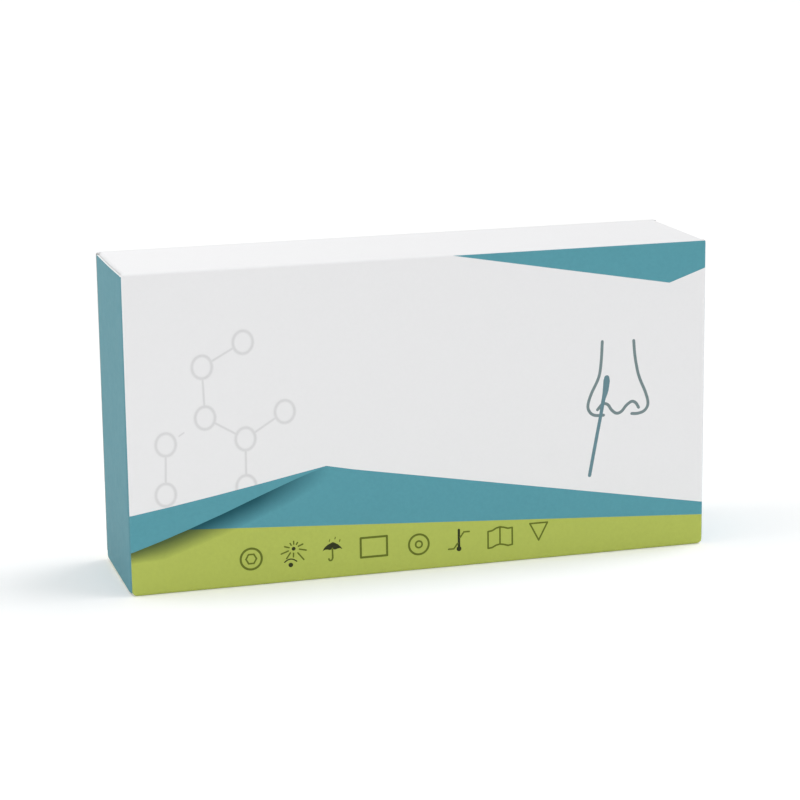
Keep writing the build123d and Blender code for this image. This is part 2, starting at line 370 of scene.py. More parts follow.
def print_on_board(name, rgb, ink=1.0, shade=None, rough=(0.60, 0.70)):
    """Coated folding board with satin varnish. ink says how far the colour is printed, shade darkens it under the
    printed ribbon."""
    n = Nodes(name)
    c = lin(*rgb)
    mottle = n.ramp(n.noise(1100, 4, 0.65), 0.3, 0.7)
    cloud = n.ramp(n.noise(60, 2, 0.5), 0.3, 0.7)
    amount = 0.030 * ink + 0.008
    light = tuple(min(1.0, x * (1 + amount)) for x in c)
    dark = tuple(x * (1 - amount) for x in c)
    col = n.mix(mottle, dark, light)
    col = n.mix(n.math("MULTIPLY", cloud, 0.35), col, tuple(min(1, x * (1 + 0.5 * amount)) for x in c))
    if shade is not None:
        col = ribbon_shade(n, col, lin(*shade))
    if ink > 0:
        # fine white cracks in the ink along the creases
        at = n.t.nodes.new("ShaderNodeAttribute")
        at.attribute_name = "crease"
        flecks = n.ramp(n.noise(2600, 5, 0.75), 0.60, 0.68)
        scuff = n.ramp(n.noise(240, 2, 0.6), 0.42, 0.62)
        worn = n.math("MULTIPLY", n.math("MULTIPLY", flecks, scuff), n.ramp(at.outputs["Fac"], 0.35, 1.0), clamp=True)
        col = n.mix(n.math("MULTIPLY", worn, 0.5), col, FIBRE)
    n.link(col, n.bsdf.inputs["Base Color"])
    n.link(n.ramp(n.noise(420, 3, 0.6), 0.3, 0.7, *rough), n.bsdf.inputs["Roughness"])
    fibre = n.bump(n.noise(1500, 3, 0.6, stretch=(0.6, 1.0, 1.0)), 0.000012, 0.5)
    n.link(n.bump(n.noise(170, 2, 0.5), 0.00003, 0.5, fibre), n.bsdf.inputs["Normal"])
    n.set(Specular_IOR_Level=0.25, IOR=1.5)
    return n


def curve_node(n, src, pts):
    c = n.t.nodes.new("ShaderNodeFloatCurve")
    cv = c.mapping.curves[0]
    cv.points[0].location = pts[0]
    cv.points[1].location = pts[-1]
    for p in pts[1:-1]:
        cv.points.new(*p)
    for p in cv.points:
        p.handle_type = "VECTOR"
    c.mapping.update()
    n.link(src, c.inputs["Value"])
    return c.outputs["Value"]


# the ribbon's lower edge, from the front panel's left edge: along, up
RIBBON_LOW = [(-1.5, 11.7), (0.6, 12.3), (8.5, 14.8), (16.0, 17.4), (26.0, 21.1), (36.6, 25.3), (46.0, 28.9), (54.7, 31.9)]


def ribbon_shade(n, col, dark):
    """The soft printed shade under the ribbon: darkest at its edge, gone a few millimetres below it."""
    sep = n.t.nodes.new("ShaderNodeSeparateXYZ")
    n.link(n.coord.outputs["Object"], sep.inputs[0])
    along = n.math("MULTIPLY_ADD", sep.outputs["X"], 1000.0 / 60.0)
    along.node.inputs[2].default_value = (XE + 2.0) / 60.0
    edge = curve_node(n, along, [((x + 2.0) / 60.0, z / 40.0) for x, z in RIBBON_LOW])
    depth = n.math("MULTIPLY", n.math("SUBTRACT", n.math("MULTIPLY", edge, 40.0), n.math("MULTIPLY", sep.outputs["Z"], 1000.0)), 0.94)
    reach = curve_node(n, along, [(0.0, 0.26), (0.04, 0.30), (0.19, 0.52), (0.32, 0.54), (0.55, 0.58), (0.78, 0.58), (1.0, 0.35)])
    t = n.math("DIVIDE", depth, n.math("MULTIPLY", reach, 10.0))
    fade = n.math("SUBTRACT", 1.0, n.math("POWER", n.math("MAXIMUM", t, 0.0), 1.35), clamp=True)
    strength = curve_node(n, along, [(0.0, 0.88), (0.18, 0.97), (0.32, 1.0), (0.62, 0.98), (0.72, 0.76), (0.80, 0.58), (0.88, 0.34), (0.97, 0.0)])
    return n.mix(n.math("MULTIPLY", fade, strength, clamp=True), col, dark)


def board_uncoated(name, rgb, bump=0.00003):
    n = Nodes(name)
    c = lin(*rgb)
    a = n.ramp(n.noise(900, 5, 0.7, stretch=(0.35, 1, 1)), 0.3, 0.7)
    col = n.mix(a, tuple(x * 0.93 for x in c), tuple(min(1, x * 1.04) for x in c))
    flecks = n.ramp(n.noise(3200, 4, 0.8), 0.66, 0.74)
    col = n.mix(n.math("MULTIPLY", flecks, 0.35), col, tuple(x * 0.72 for x in c))
    n.link(col, n.bsdf.inputs["Base Color"])
    n.link(n.bump(n.noise(1400, 5, 0.7, stretch=(0.4, 1, 1)), bump, 0.8), n.bsdf.inputs["Normal"])
    n.set(Roughness=0.86, Specular_IOR_Level=0.3)
    return n


WHITE = (236, 236, 237)
TEAL = (86, 154, 167)
GREEN = (178, 190, 89)
print_on_board("ink_none", WHITE, 0.0)
print_on_board("ink_teal", TEAL)
print_on_board("ink_teal_front", TEAL, shade=(0, 74, 86))
# a darker, greyer copy of the teal for the end panels: painted shade, standing in for the dimmer light on the ends
print_on_board("ink_teal_shaded_end", (87, 143, 154))
print_on_board("ink_green", GREEN)
print_on_board("ink_green_front", GREEN, shade=(64, 84, 44))
print_on_board("ink_grey", (218, 218, 219), 0.4)
print_on_board("ink_grey_edge", (229, 229, 230), 0.2)
print_on_board("ink_olive", (98, 110, 30))
print_on_board("ink_olive_dark", (42, 48, 14))
print_on_board("ink_line", (118, 136, 138))
print_on_board("ink_line_blue", (102, 136, 145))
board_uncoated("board_inside", (225, 223, 217))
board_uncoated("board_edge", (235, 236, 237), 0.00004)
INKS = ["ink_none", "ink_teal", "ink_teal_front", "ink_teal_shaded_end", "ink_green", "ink_green_front", "ink_grey", "ink_grey_edge", "ink_olive", "ink_olive_dark",
        "ink_line", "ink_line_blue", "board_inside", "board_edge"]


# ---- the front panel's print: along from the left edge, up from the lower edge, in mm ---------------


def through(pts, steps=7):
    """A smooth line through points."""
    P = [np.array(p, float) for p in pts]
    P = [2 * P[0] - P[1]] + P + [2 * P[-1] - P[-2]]
    out = []
    for i in range(1, len(P) - 2):
        for k in range(steps):
            t = k / steps
            p0, p1, p2, p3 = P[i - 1 : i + 3]
            out.append(0.5 * (2 * p1 + (p2 - p0) * t + (2 * p0 - 5 * p1 + 4 * p2 - p3) * t * t + (3 * p1 - p0 - 3 * p2 + p3) * t ** 3))
    out.append(P[-2])
    return out


def stroke(pts, width, cap=5):
    """Outline of a line of that width with round ends. width may be a list, one for each point."""
    P = [np.array(p, float) for p in pts]
    w = [width / 2] * len(P) if isinstance(width, (int, float)) else [x / 2 for x in width]
    left, right = [], []
    for i, p in enumerate(P):
        t = P[min(i + 1, len(P) - 1)] - P[max(i - 1, 0)]
        t = t / np.hypot(*t)
        n = np.array([-t[1], t[0]])
        left.append(p + n * w[i])
        right.append(p - n * w[i])
        if i in (0, len(P) - 1):
            a0 = math.atan2(n[1], n[0])
            ends = [p + w[i] * np.array([math.cos(a0 - s), math.sin(a0 - s)]) for s in np.linspace(0, math.pi, cap + 2)[1:-1]]
            if i:
                last = ends
            else:
                first = [2 * p - e for e in ends]
    return [tuple(q) for q in left + last + right[::-1] + first]


def ring(cx, cz, rx, rz, n=40):
    return [(cx + rx * math.cos(2 * math.pi * k / n), cz + rz * math.sin(2 * math.pi * k / n)) for k in range(n)]


PRINT = []          # (ink, outline, holes), later ones over earlier ones


def put(ink, outline, holes=()):
    PRINT.append((ink, [tuple(map(float, p)) for p in outline], [[tuple(map(float, p)) for p in h] for h in holes]))


# pale ornament of rings and bonds
RINGS = {"a": (32.3, 67.7), "b": (21.0, 61.7), "c": (21.5, 47.8), "d": (32.4, 41.2), "e": (43.4, 47.9), "f": (32.3, 28.0), "g": (10.6, 41.3), "i": (10.2, 27.5)}
RX, RZ = 2.7, 3.1
for ink, half, bond in (("ink_grey_edge", 0.56, 0.40), ("ink_grey", 0.30, 0.22)):
    for c in RINGS.values():
        put(ink, ring(*c, RX + half, RZ + half), [ring(*c, RX - half, RZ - half)])
    for a, b in ("ab", "bc", "cd", "de", "df", "gi"):
        p, q = np.array(RINGS[a]), np.array(RINGS[b])
        d = (q - p) / np.hypot(*(q - p))
        k = 1 / math.hypot(d[0] / RX, d[1] / RZ)
        e, f = p + d * k, q - d * k
        n = np.array([-d[1], d[0]]) * bond
        put(ink, [e + n, e - n, f - n, f + n])
    put(ink, stroke([(14.3, 43.4), (15.6, 44.2)], bond * 1.4))

# green band, carried round the lower crease, and the teal field over it
put("ink_green_front", [(-3, -2.2), (168, -2.2), (168, 8.5), (16.0, 17.4)] + RIBBON_LOW[3::-1] + [(-3, 11.2)])
APEX = (54.7, 31.9)
put("ink_teal_front", RIBBON_LOW[3:] + [(62.0, 30.35), (70.1, 28.9), (99.6, 23.75), (168, 11.8), (168, 8.5)])
put("ink_teal", [(-3, 21.95), (0.5, 22.45), (11.6, 24.15), (24.0, 26.25), (36.6, 28.5), (45.6, 30.2)] + RIBBON_LOW[::-1] + [(-3, 11.2)])
# teal field at the upper right
TOP_LINE = H - R + R * math.sin(0.55)
put("ink_teal", [(88.1 + (88.1 - TOP_LINE) / 0.1788, TOP_LINE), (121.0, 82.2), (154.1, 76.3), (168, 81.05), (168, TOP_LINE)])

# a nose in outline with a swab
put("ink_line", stroke(through([(134.3, 60.9), (134.0, 55.2), (133.3, 50.8), (131.1, 46.2), (130.15, 43.0), (130.7, 41.1), (132.2, 40.05), (134.8, 39.9)]), 0.86))
put("ink_line", stroke(through([(143.6, 60.6), (144.05, 55.9), (145.2, 50.5), (147.3, 45.4), (148.0, 42.3), (147.0, 40.4), (145.0, 39.7), (143.2, 39.75)]), 0.86))
put("ink_line", stroke(through([(133.0, 41.6), (134.5, 43.1), (136.0, 42.85), (137.2, 41.2), (138.6, 40.2), (140.1, 40.6), (141.6, 42.3), (143.2, 43.25), (144.4, 42.7), (145.2, 41.4)]), 0.86))
put("ink_line_blue", stroke(through([(135.7, 50.5), (135.6, 49.0), (135.3, 46.6), (134.8, 44.6), (134.4, 42.5), (134.0, 40.0)], 5)[:], list(np.interp(np.linspace(0, 1, 26), [0, 0.12, 0.35, 0.6, 1.0], [1.55, 1.95, 1.75, 1.15, 1.0])), 7))
put("ink_line_blue", stroke([(134.1, 40.6), (133.2, 36.0), (132.0, 29.8), (130.7, 22.9)], 1.0))

# row of small plain symbols in the green band
OL, OD = "ink_olive", "ink_olive_dark"


def lines(ink, pts, width, closed=False):
    for p, q in zip(pts, pts[1:] + (pts[:1] if closed else [])):
        put(ink, stroke([p, q], width, 4))


def at(c, pts):
    return [(c[0] + x, c[1] + z) for x, z in pts]


put(OL, ring(33.1, 7.6, 3.25, 3.25), [ring(33.1, 7.6, 2.62, 2.62)])
put(OL, ring(33.1, 7.6, 1.75, 1.75, 6), [ring(33.1, 7.6, 1.2, 1.2, 6)])
sun = (45.0, 9.4)
for x0, z0, x1, z1 in ((-3.5, -1.2, -1.5, -0.5), (-2.5, 0.8, -1.25, 0.4), (-0.95, 1.6, -0.65, 1.05), (0.05, 2.1, 0.05, 1.3), (1.1, 1.65, 0.8, 1.15), (2.6, 1.1, 1.35, 0.6), (3.5, -0.7, 1.6, -0.25), (-2.0, -2.6, -0.95, -1.1), (-0.1, -2.3, -0.05, -1.25), (2.8, -3.3, 1.15, -1.25)):
    put(OL, stroke(at(sun, [(x0, z0), (x1, z1)]), 0.44, 3))
put(OD, ring(*sun, 0.55, 0.55, 16))
put(OD, stroke(through(at(sun, [(-2.6, -3.6), (-1.8, -3.05), (-0.9, -2.85), (0.0, -3.05), (0.8, -3.6)]), 4), 0.36, 3))
put(OD, ring(sun[0] - 0.9, sun[1] - 4.5, 0.66, 0.66, 18))
umb = (55.9, 8.3)
put(OD, at(umb, [(1.08 * x, 1.08 * z) for x, z in [(-2.6, -0.35), (-2.1, 0.5), (-1.3, 1.2), (-0.3, 1.65), (0.2, 1.85), (0.6, 1.65), (1.5, 1.15), (2.2, 0.45), (2.6, -0.2), (1.9, 0.12), (1.3, 0.0), (0.65, -0.2), (0.0, 0.05), (-0.65, -0.2), (-1.3, 0.0), (-1.9, 0.0)]]))
put(OL, stroke(through(at(umb, [(0.0, 0.2), (0.02, -1.2), (0.03, -2.5), (-0.3, -3.1), (-0.8, -3.15), (-1.05, -2.7)]), 4), 0.5, 3))
for x, z in ((-0.7, 2.75), (0.9, 3.3), (2.2, 2.5)):
    put(OL, stroke(at(umb, [(x, z), (x - 0.15, z - 0.5)]), 0.3, 3))
lines(OL, [(63.95, 5.15), (71.45, 5.15), (71.45, 10.65), (63.95, 10.65)], 0.62, True)
put(OL, ring(80.6, 7.4, 3.15, 3.15), [ring(80.6, 7.4, 2.55, 2.55)])
put(OL, ring(80.6, 7.4, 1.2, 1.2, 24), [ring(80.6, 7.4, 0.68, 0.68, 24)])
ther = (92.2, 7.6)
put(OD, stroke(at(ther, [(0.0, 2.9), (0.0, -2.2)]), 0.72, 4))
put(OD, ring(ther[0], ther[1] - 2.5, 0.72, 0.72, 18))
put(OL, stroke(at(ther, [(0.35, 0.7), (1.45, 2.2), (3.0, 2.2)]), 0.5, 3))
put(OL, stroke(at(ther, [(-0.35, -0.9), (-1.5, -2.4), (-3.0, -2.4)]), 0.5, 3))
book = (104.2, 7.7)
page_l = [(0.0, 2.6), (-1.1, 2.35), (-2.3, 1.7), (-3.5, 1.55), (-3.5, -3.3), (-2.3, -3.15), (-1.1, -2.55), (0.0, -2.35)]
page_r = [(0.0, 2.6), (1.1, 2.4), (2.4, 2.0), (3.6, 2.15), (3.6, -2.75), (2.4, -2.95), (1.1, -2.55), (0.0, -2.35)]
lines(OL, at(book, page_l), 0.5, True)
lines(OL, at(book, page_r[:-1]), 0.5)
lines(OL, at(book, page_r[-2:]), 0.5)
tri = (115.6, 8.7)
lines(OL, at(tri, [(-2.6, 1.75), (2.6, 1.75), (0.0, -3.2)]), 0.48, True)


def front_to_flat(p):
    """Front panel millimetres to the blank."""
    x, z = p
    if z < R:
        v = V2 - R * math.asin(min(1.0, (R - z) / R)) if z > 0 else V1 + z
    elif z > H - R:
        v = V3 + R * math.asin(min(1.0, (z - H + R) / R))
    else:
        v = V2 + z - R
    return (x - XE, v)


def paint(flat, tris, items, base):
    """Ink of each triangle: base, then each item over it."""
    mid = flat[tris].mean(1)
    ink = base(mid)
    for name, outline, holes in items:
        o = np.array(outline)
        near = ((mid >= o.min(0)) & (mid <= o.max(0))).all(1)
        k = np.nonzero(near)[0]
        if not len(k):
            continue
        hit = inside(outline, mid[k])
        for h in holes:
            hit &= ~inside(h, mid[k])
        ink[k[hit]] = INKS.index(name)
    return ink


ON_BLANK = [(n, [front_to_flat(p) for p in o], [[front_to_flat(p) for p in h] for h in hs]) for n, o, hs in PRINT]
# the green band is carried over the lower crease on to the bottom panel, and on the back panel both bands run straight
SIDE = XE + 5
ON_BLANK.append(("ink_green", [(-SIDE, -1.0), (SIDE, -1.0), (SIDE, V1 - 0.2), (-SIDE, V1 - 0.2)], []))
ON_BLANK.append(("ink_green", [(-SIDE, V1 - 0.2), (SIDE, V1 - 0.2), (SIDE, V1 + 0.55 * A), (-SIDE, V1 + 0.55 * A)], []))
ON_BLANK.append(("ink_green", [(-SIDE, V6 + H - R - 8.7), (SIDE, V6 + H - R - 8.7), (SIDE, V9 + 2), (-SIDE, V9 + 2)], []))
ON_BLANK.append(("ink_teal", [(-SIDE, V6 + H - R - 12.4), (SIDE, V6 + H - R - 12.4), (SIDE, V6 + H - R - 8.7), (-SIDE, V6 + H - R - 8.7)], []))

# ---- the body's blank -----------------------------------------------------------------------------


def quarter(cx, cy, r, a0, a1, n=7):
    return [(cx + r * math.cos(math.radians(a)), cy + r * math.sin(math.radians(a))) for a in np.linspace(a0, a1, n)]


t0, t1 = DUST_V[1]
right = (
    [(81.4, 0.0), (81.4, 1.5), (XF, 1.5), (XF, 1.7), (XF + 5.5, 1.7), (XF + 24.4, 6.7)]
    + quarter(XF + 23.3, 10.7, 4.0, -72, 0)
    + quarter(XF + 23.3, 33.0, 4.0, 0, 90)
    + [(XF, 37.0), (XF, 37.14), (82.2, 37.14), (82.2, V2 + 0.06), (XE - HR - HFLAT, V2 + 0.06)]
    + [(XE - HR - HFLAT, V3 - 0.06), (82.2, V3 - 0.06), (82.2, V4 + 0.06), (XF, V4 + 0.06), (XF, t0)]
    + quarter(XF + 23.3, t0 + 4.0, 4.0, -90, 0)
    + quarter(XF + 23.3, t1 - 9.0, 4.0, 0, 72)
    + [(XF + 24.4, t1 - 5.0), (XF + 5.5, t1), (XF, t1), (XF, t1 + 0.12), (81.85, t1 + 0.12), (81.9, V5 - 0.1), (82.2, V5 + 0.2)]
    + [(82.3, V6 - 0.1), (82.3, V7), (82.1, V8 - 0.3), (79.0, V8 - 0.28), (78.6, V8 - 0.1), (78.0, V8 + 0.3), (71.6, V9)]
)
blank = right + [(-u, v) for u, v in right[::-1]]

U_ENDS = [82.1, 81.8, 81.5, 81.2, 80.9, 80.5, 80.1, 79.6, 79.0, 78.3, 77.4, 76.4]
U_LINE = sorted([-u for u in U_ENDS] + [float(u) for u in range(-75, 76, 3)] + U_ENDS)


def along_u(v, us=U_LINE):
    return ([(u, v) for u in us], False)


def body_lines():
    out = []
    for a, b in ((V1, V2), (V3, V4), (V5, V6), (V7, V8)):
        for k in range(7):
            out.append(along_u(a + (b - a) * k / 6))
        for d in (0.35, 1.1):
            out.append(along_u(a - d))
            out.append(along_u(b + d))
    for a, b in DUST_V:
        vs = [a, a + 0.3] + list(np.arange(a + 1.5, b - 1.0, 3.0)) + [b - 0.3, b]
        for side in (-1, 1):
            for u in [XF - 1.1, XF - 0.35] + [XF + DA * k / 6 for k in range(7)] + [XF + DA + 0.35, XF + DA + 1.1]:
                out.append(([(side * u, v) for v in vs], False))
    return out


points = [(u, v) for u in np.arange(-80, 81, 4.0) for v in np.arange(2.0, V9, 4.0)]
points += [(side * u, v) for side in (-1, 1) for u in np.arange(XF + 5, XF + DUST, 3.0) for a, b in DUST_V for v in np.arange(a + 1.5, b, 3.0)]
for a, b in ((V1, V2), (V3, V4), (V5, V6), (V7, V8)):
    for side in (-1, 1):
        points += [(side * u, v) for u in np.arange(79.2, 82.3, 0.3) for v in list(np.arange(a - 2.5, a, 0.3)) + list(np.arange(b + 0.2, b + 2.7, 0.3))]

creases_v = [(V1 + V2) / 2, (V3 + V4) / 2, (V5 + V6) / 2, (V7 + V8) / 2]


def body_crease(u, v):
    d = min(abs(v - c) for c in creases_v)
    if any(a <= v <= b for a, b in DUST_V):
        d = min(d, abs(abs(u) - XF - DA / 2))
    return math.exp(-((d / 0.75) ** 2))


def body_base(mid):
    return np.zeros(len(mid), int)


loops = [(o, True) for _, o, _ in ON_BLANK] + [(h, True) for _, _, hs in ON_BLANK for h in hs]
flat, tris = triangulate(blank, body_lines() + loops, points)
carton = sheet_mesh("carton_sheet", flat, tris, paint(flat, tris, ON_BLANK, body_base), body_place, INKS, crease=body_crease)
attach(carton, "carton")
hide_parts("carton_body")

# ---- closures -------------------------------------------------------------------------------------
# Laid flat: s from the hinge crease towards the back, z up. The panel bows out a little, and its back edge stands in.
SP0 = -YE + HR + HFLAT                    # y where the closure's own sheet begins
PANEL = 17.85 - SP0                       # its panel, up to the tuck crease
BACK_SET = 0.12
EPS = math.atan(2 * BACK_SET / PANEL)
TUCK_TURN = math.radians(102) - EPS
TA = R * TUCK_TURN
TONGUE = 13.2
S_END = PANEL + TA + TONGUE


def closure_place(side):
    def place(s, z):
        if s <= PANEL:
            x, y = XE - BACK_SET * (s / PANEL) ** 2, SP0 + s
            e = math.atan(2 * BACK_SET * s / PANEL ** 2)
            dip = 0.05 * math.sin(z * 0.09 + 0.5) * math.sin(math.pi * s / PANEL) ** 2
            return (side * (x - abs(dip)), y, z), (side * math.cos(e), math.sin(e), 0.0)
        x0, y0 = XE - BACK_SET, SP0 + PANEL
        turn = min((s - PANEL) / R, TUCK_TURN) + EPS
        cx, cy = x0 - R * math.cos(EPS), y0 - R * math.sin(EPS)
        nx, ny = math.cos(turn), math.sin(turn)
        on = max(0.0, s - PANEL - TA)
        x, y = cx + R * nx - on * ny, cy + R * ny + on * nx
        return (side * x, y, z), (side * nx, ny, 0.0)
    return place


zl, zt = 0.4, H - 0.65
s_p = PANEL + 0.35
closure_outline = (
    [(0.0, 0.6), (0.5, zl)]
    + quarter(s_p - 1.2, zl + 1.2, 1.2, -90, -13)
    + [(s_p + 0.6, 2.5)]
    + quarter(S_END - 9.0, 2.5 + 9.0, 9.0, -90, 0, 13)
    + quarter(S_END - 9.0, H - 2.5 - 9.0, 9.0, 0, 90, 13)
    + [(s_p + 0.6, H - 2.5), (s_p, H - 2.6)]
    + quarter(s_p - 0.8, zt - 0.8, 0.8, 0, 90, 5)
    + [(s, zt - 0.2 * math.sin(math.pi * s / PANEL)) for s in np.arange(34.0, 1.5, -2.5)]
    + [(0.6, zt), (0.0, H - 0.8)]
)
Z_LINE = [0.6, 1.0, 1.4, 1.8, 2.2, 2.6, 3.0, 3.6, 4.5, 6.0] + [float(z) for z in range(9, 80, 3)] + [82.0, 83.5, 84.4, 85.0, 85.4, 85.8, 86.2, 86.6, 87.0, 87.2]
closure_lines = []
for s in [0.35, 1.1, 2.2] + [PANEL - 1.1, PANEL - 0.35] + [PANEL + TA * k / 7 for k in range(8)] + [PANEL + TA + 0.35, PANEL + TA + 1.1]:
    closure_lines.append(([(s, z) for z in Z_LINE], False))
BLEED = PANEL + TA + 3.5                  # the end panels' darker, greyer teal, painted shade for the dimmer light on the ends, runs this far on to the tongue
closure_lines.append(([(BLEED, z) for z in [0.5] + Z_LINE + [87.5]], False))
closure_points = [(s, z) for s in np.arange(3.5, S_END, 3.5) for z in np.arange(2.0, H - 1.5, 3.5)]
closure_points += [(s, z) for s in np.arange(0.2, 3.2, 0.4) for z in list(np.arange(1.1, 3.4, 0.35)) + list(np.arange(H - 3.2, H - 1.0, 0.35))]


def closure_crease(s, z):
    d = min(abs(s + HFLAT + HA / 2), abs(s - PANEL - TA / 2))
    return math.exp(-((d / 0.75) ** 2))


# up to BLEED the closure takes the shaded copy of the teal, painted shade; beyond it plain board
def closure_base(mid):
    return np.where(mid[:, 0] < BLEED, INKS.index("ink_teal_shaded_end"), INKS.index("ink_none"))


c_flat, c_tris = triangulate(closure_outline, closure_lines, closure_points)
closures = {}
for side, name in ((-1, "left"), (1, "right")):
    # (s, z) turns outward on the right side, and is mirrored on the left
    o = sheet_mesh(f"{name}_closure_sheet", c_flat, c_tris, closure_base(c_flat[c_tris].mean(1)).tolist(), closure_place(side), INKS, flip=side < 0, crease=closure_crease)
    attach(o, f"{name}_closure")
    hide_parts(f"{name}_tuck_flap")
    closures[name] = o

# ---- the creases between front panel and closures ---------------------------------------------------
TEAL_FROM = {"left": math.radians(48), "right": math.radians(50)}    # where the end panels' darker, greyer teal (painted shade) begins on the crease


def hinge_place(side):
    def place(w, z):
        if w < 0:
            a, b, f = HR - w, 0.0, 0.0
        elif w > HA:
            a, b, f = 0.0, HR + w - HA, math.pi / 2
        else:
            f = w / HR
            a, b = HR - HR * math.sin(f), HR - HR * math.cos(f)
        return (side * (XE - a), -YE + b, z), (side * math.sin(f), -math.cos(f), 0.0)
    return place


for side, name in ((-1, "left"), (1, "right")):
    w0, w1 = -HFLAT, HA + HFLAT
    wb = HR * TEAL_FROM[name]
    # the front panel's print runs on across the crease as far as wb: w is measured from the panel's edge outward
    off = XE - HR

    def to_strip(p):
        return ((side * (p[0] - XE) - off), p[1])

    items = [(n, [to_strip(p) for p in o], [[to_strip(p) for p in h] for h in hs]) for n, o, hs in PRINT]
    items = [it for it in items if max(p[0] for p in it[1]) > w0]
    # beyond wb the crease takes the end panels' shaded copy of the teal: painted shade
    items.append(("ink_teal_shaded_end", [(wb, -1), (w1 + 1, -1), (w1 + 1, H + 1), (wb, H + 1)], []))
    zs = Z_LINE
    rows = [([(w, z) for z in zs[1:-1]], False) for w in [0.0] + [HA * k / 8 for k in range(1, 8)] + [HA]]
    loops = [(o, True) for _, o, _ in items] + [(h, True) for _, _, hs in items for h in hs]
    outline = [(w0, 0.6), (w1, 0.6), (w1, H - 0.8), (w0, H - 0.8)]
    h_flat, h_tris = triangulate(outline, rows + loops, [], 0.05)
    ink = paint(h_flat, h_tris, items, body_base)
    o = sheet_mesh(f"{name}_hinge_crease", h_flat, h_tris, ink, hinge_place(side), INKS, flip=side < 0, crease=lambda w, z: math.exp(-(((w - HA / 2) / 0.75) ** 2)))
    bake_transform(o)

# ---- what the carton holds ------------------------------------------------------------------------


def foil_material():
    n = Nodes("foil_laminate")
    col = n.mix(n.ramp(n.noise(900, 3, 0.6), 0.3, 0.7), (0.60, 0.61, 0.62), (0.74, 0.75, 0.76))
    n.link(col, n.bsdf.inputs["Base Color"])
    n.link(n.ramp(n.noise(260, 4, 0.6), 0.3, 0.7, 0.22, 0.36), n.bsdf.inputs["Roughness"])
    crinkle = n.bump(n.noise(320, 5, 0.7, distort=0.6), 0.00018, 0.5)
    n.link(n.bump(n.noise(2400, 2, 0.5), 0.00001, 0.5, crinkle), n.bsdf.inputs["Normal"])
    n.set(Metallic=0.85)


def paper_material(name, rgb, stretch=None):
    n = Nodes(name)
    c = lin(*rgb)
    a = n.ramp(n.noise(1300, 4, 0.7, stretch=stretch), 0.3, 0.7)
    n.link(n.mix(a, tuple(x * 0.95 for x in c), tuple(min(1, x * 1.03) for x in c)), n.bsdf.inputs["Base Color"])
    n.link(n.bump(n.noise(1800, 4, 0.7), 0.00002, 0.6), n.bsdf.inputs["Normal"])
    n.set(Roughness=0.82, Specular_IOR_Level=0.3)


def film_material():
    n = Nodes("clear_film")
    n.link(n.mix(n.ramp(n.noise(500, 3), 0.3, 0.7), (0.90, 0.93, 0.95), (0.97, 0.98, 0.99)), n.bsdf.inputs["Base Color"])
    n.link(n.ramp(n.noise(300, 3), 0.3, 0.7, 0.16, 0.26), n.bsdf.inputs["Roughness"])
    n.link(n.bump(n.noise(260, 4, 0.6), 0.00008, 0.4), n.bsdf.inputs["Normal"])
    n.set(Transmission_Weight=0.75, IOR=1.45)


def moulded_material(name, rgb, transmission, rough, scale):
    n = Nodes(name)
    c = lin(*rgb)
    a = n.ramp(n.noise(scale, 3, 0.5), 0.3, 0.7)
    n.link(n.mix(a, tuple(x * 0.96 for x in c), tuple(min(1, x * 1.03) for x in c)), n.bsdf.inputs["Base Color"])
    n.link(n.ramp(n.noise(scale * 2.2, 3), 0.3, 0.7, rough, rough + 0.09), n.bsdf.inputs["Roughness"])
    n.link(n.bump(n.noise(scale * 4, 3, 0.6), 0.00001, 0.4), n.bsdf.inputs["Normal"])
    n.set(Transmission_Weight=transmission, IOR=1.5)


foil_material()
film_material()
paper_material("leaflet_paper", (236, 235, 229))
paper_material("pack_paper", (240, 241, 240))
paper_material("swab_flock", (246, 246, 244))
moulded_material("swab_stick", (238, 240, 240), 0.0, 0.34, 300)
moulded_material("tube_plastic", (226, 231, 231), 0.35, 0.24, 220)
moulded_material("cap_plastic", (240, 240, 234), 0.0, 0.38, 260)

for node, mat in (("buffer_tube", "tube_plastic"), ("dropper_cap", "cap_plastic")):
    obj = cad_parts[node]
    obj.data.materials.clear()
    obj.data.materials.append(MAT[mat])
    obj.data.polygons.foreach_set("use_smooth", [True] * len(obj.data.polygons))
    obj.data.set_sharp_from_angle(angle=math.radians(35))


def node_box(name):
    lo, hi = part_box(name)
    return [c / MM for c in lo], [c / MM for c in hi]


def lens_mesh(name, xs, zs, front, back, mats, index=None):
    """A closed skin over a grid: front(x, z) and back(x, z) are its y, towards -Y and +Y."""
    nx, nz = len(xs), len(zs)
    F = [(x, front(x, z), z) for x in xs for z in zs]
    B = [(x, back(x, z), z) for x in xs for z in zs]
    at_ = lambda i, j: i * nz + j
    faces = []
    for i in range(nx - 1):
        for j in range(nz - 1):
            a, b, c, d = at_(i, j), at_(i + 1, j), at_(i + 1, j + 1), at_(i, j + 1)
            faces.append((a, b, c, d))
            faces.append(tuple(nx * nz + k for k in (a, d, c, b)))
    ring_ = [at_(i, 0) for i in range(nx)] + [at_(nx - 1, j) for j in range(1, nz)] + [at_(i, nz - 1) for i in range(nx - 2, -1, -1)] + [at_(0, j) for j in range(nz - 2, 0, -1)]
    for a, b in zip(ring_, ring_[1:] + ring_[:1]):
        faces.append((b, a, a + nx * nz, b + nx * nz))
    return plain_mesh(name, F + B, faces, mats, index)


# sealed foil pouch: film drawn over the flat block inside, ribbed seals, wrinkles running out from the block
(px0, py0, pz0), (px1, py1, pz1) = node_box("test_pouch")
pcx, pcy, pcz = (px0 + px1) / 2, (py0 + py1) / 2, (pz0 + pz1) / 2
PW, PH = (px1 - px0) / 2 - 0.05, (pz1 - pz0) / 2 - 0.05


